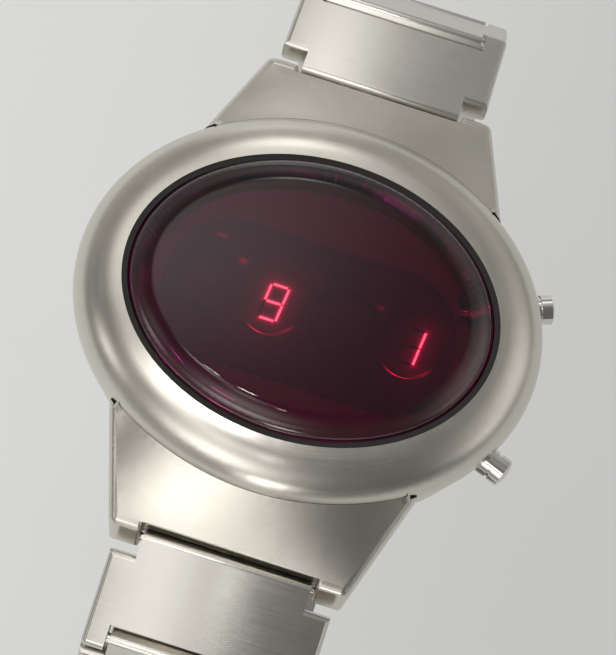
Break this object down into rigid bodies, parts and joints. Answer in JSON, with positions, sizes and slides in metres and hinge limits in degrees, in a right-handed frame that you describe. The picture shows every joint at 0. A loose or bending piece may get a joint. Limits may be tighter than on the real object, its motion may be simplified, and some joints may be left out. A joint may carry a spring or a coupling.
{
  "type": "digital led wrist watch",
  "caption": "Oval steel LED wrist watch with a domed red crystal, side pushers and a folding-clasp link bracelet.",
  "frame": {"origin": "centre of the case back's outer face", "axes": "+X towards 3 o'clock, +Y towards 12 o'clock, +Z out of the dial"},
  "size_m": [0.0424, 0.0784, 0.0493],
  "materials": {
    "case_steel": "satin brushed, softly lit",
    "bezel_steel": "satin, brushed round the ring, polished at the inner edge",
    "link_steel": "satin, brushed along the bracelet",
    "clasp_steel": "satin spring sheet",
    "back_steel": "fine satin",
    "polished_steel": "polished",
    "pusher_steel": "polished, slightly worn",
    "crystal_red": "dark red, glossy",
    "gasket_rubber": "matt black",
    "module_plastic": "matt moulded",
    "board_laminate": "matt laminate",
    "display_dark": "matt black",
    "lens_clear": "clear moulded",
    "led_lit": "glowing",
    "led_dark": "unlit die",
    "chip_black": "moulded epoxy",
    "board_brass": "plain"
  },
  "bodies": {
    "case": {"case_body": "case_steel", "bezel": "bezel_steel", "crystal": "crystal_red", "crystal_gasket": "gasket_rubber", "case_back": "back_steel", "case_back_gasket": "gasket_rubber", "case_back_screws": "polished_steel", "module_frame": "module_plastic", "circuit_board": "board_laminate", "display_plate": "display_dark", "digit_lenses": "lens_clear", "digits_lit": "led_lit", "digits_dark": "led_dark", "driver_chip": "chip_black", "quartz_can": "polished_steel", "trimmer": "board_brass", "battery_cells": "polished_steel", "battery_strips": "board_brass", "switch_contacts": "board_brass", "spring_bars": "polished_steel", "pusher_tubes": "board_brass", "pusher_upper_spring": "polished_steel", "pusher_lower_spring": "polished_steel"},
    "band_12h_1": {"link_12h_1": "link_steel", "pin_12h_1": "polished_steel"},
    "band_12h_2": {"link_12h_2": "link_steel", "pin_12h_2": "polished_steel"},
    "band_12h_3": {"link_12h_3": "link_steel", "pin_12h_3": "polished_steel"},
    "band_12h_4": {"link_12h_4": "link_steel", "pin_12h_4": "polished_steel"},
    "band_12h_5": {"link_12h_5": "link_steel", "pin_12h_5": "polished_steel"},
    "band_12h_6": {"link_12h_6": "link_steel", "pin_12h_6": "polished_steel"},
    "band_6h_1": {"link_6h_1": "link_steel", "pin_6h_1": "polished_steel"},
    "band_6h_2": {"link_6h_2": "link_steel", "pin_6h_2": "polished_steel"},
    "band_6h_3": {"link_6h_3": "link_steel", "pin_6h_3": "polished_steel"},
    "band_6h_4": {"link_6h_4": "link_steel", "pin_6h_4": "polished_steel"},
    "band_6h_5": {"link_6h_5": "link_steel", "pin_6h_5": "polished_steel"},
    "band_6h_6": {"link_6h_6": "link_steel", "pin_6h_6": "polished_steel"},
    "clasp_inner": {"clasp_inner_blade": "clasp_steel"},
    "clasp_middle": {"clasp_middle_blade": "clasp_steel", "clasp_fold_pin": "polished_steel"},
    "clasp_cover": {"clasp_cover": "link_steel", "clasp_cover_pin": "polished_steel"},
    "pusher_upper": {"pusher_upper": "pusher_steel", "pusher_upper_clip": "polished_steel", "pusher_upper_seal": "gasket_rubber"},
    "pusher_lower": {"pusher_lower": "pusher_steel", "pusher_lower_clip": "polished_steel", "pusher_lower_seal": "gasket_rubber"}
  },
  "joints": [
    {"name": "12h_link_1", "type": "hinge", "parent": "case", "child": "band_12h_1", "pos_m": [0, 0.02285, 0.0036], "axis": [1, 0, 0], "range_deg": [0, 8]},
    {"name": "12h_link_2", "type": "hinge", "parent": "band_12h_1", "child": "band_12h_2", "pos_m": [0, 0.032, 0.0027], "axis": [1, 0, 0], "range_deg": [0, 47]},
    {"name": "12h_link_3", "type": "hinge", "parent": "band_12h_2", "child": "band_12h_3", "pos_m": [0, 0.03704, -0.00476], "axis": [1, 0, 0], "range_deg": [0, 33]},
    {"name": "12h_link_4", "type": "hinge", "parent": "band_12h_3", "child": "band_12h_4", "pos_m": [0, 0.03798, -0.01371], "axis": [1, 0, 0], "range_deg": [0, 27]},
    {"name": "12h_link_5", "type": "hinge", "parent": "band_12h_4", "child": "band_12h_5", "pos_m": [0, 0.0355, -0.02236], "axis": [1, 0, 0], "range_deg": [0, 27]},
    {"name": "12h_link_6", "type": "hinge", "parent": "band_12h_5", "child": "band_12h_6", "pos_m": [0, 0.02996, -0.02946], "axis": [1, 0, 0], "range_deg": [0, 27]},
    {"name": "6h_link_1", "type": "hinge", "parent": "case", "child": "band_6h_1", "pos_m": [0, -0.02285, 0.0036], "axis": [-1, 0, 0], "range_deg": [0, 8]},
    {"name": "6h_link_2", "type": "hinge", "parent": "band_6h_1", "child": "band_6h_2", "pos_m": [0, -0.032, 0.0027], "axis": [-1, 0, 0], "range_deg": [0, 47]},
    {"name": "6h_link_3", "type": "hinge", "parent": "band_6h_2", "child": "band_6h_3", "pos_m": [0, -0.03704, -0.00476], "axis": [-1, 0, 0], "range_deg": [0, 33]},
    {"name": "6h_link_4", "type": "hinge", "parent": "band_6h_3", "child": "band_6h_4", "pos_m": [0, -0.03798, -0.01371], "axis": [-1, 0, 0], "range_deg": [0, 27]},
    {"name": "6h_link_5", "type": "hinge", "parent": "band_6h_4", "child": "band_6h_5", "pos_m": [0, -0.0355, -0.02236], "axis": [-1, 0, 0], "range_deg": [0, 27]},
    {"name": "6h_link_6", "type": "hinge", "parent": "band_6h_5", "child": "band_6h_6", "pos_m": [0, -0.02996, -0.02946], "axis": [-1, 0, 0], "range_deg": [0, 27]},
    {"name": "clasp_end", "type": "hinge", "parent": "band_12h_6", "child": "clasp_inner", "pos_m": [0, 0.02216, -0.03396], "axis": [1, 0, 0], "range_deg": [0, 60]},
    {"name": "clasp_fold", "type": "hinge", "parent": "clasp_inner", "child": "clasp_middle", "pos_m": [0, -0.01886, -0.03378], "axis": [-1, 0, 0], "range_deg": [0, 85]},
    {"name": "clasp_cover_swing", "type": "hinge", "parent": "clasp_middle", "child": "clasp_cover", "pos_m": [0, 0.01876, -0.03431], "axis": [1, 0, 0], "range_deg": [0, 170]},
    {"name": "pusher_upper_press", "type": "slide", "parent": "case", "child": "pusher_upper", "axis": [-0.9336, -0.3584, 0], "range_m": [0, 0.0008], "stiffness_N_per_m": 1000, "deforming": ["pusher_upper_spring"]},
    {"name": "pusher_lower_press", "type": "slide", "parent": "case", "child": "pusher_lower", "axis": [-0.9336, 0.3584, 0], "range_m": [0, 0.0008], "stiffness_N_per_m": 1000, "deforming": ["pusher_lower_spring"]}
  ],
  "couplings": [
    {"joint": "clasp_fold", "follows": "clasp_cover_swing", "ratio": 0.5}
  ]
}
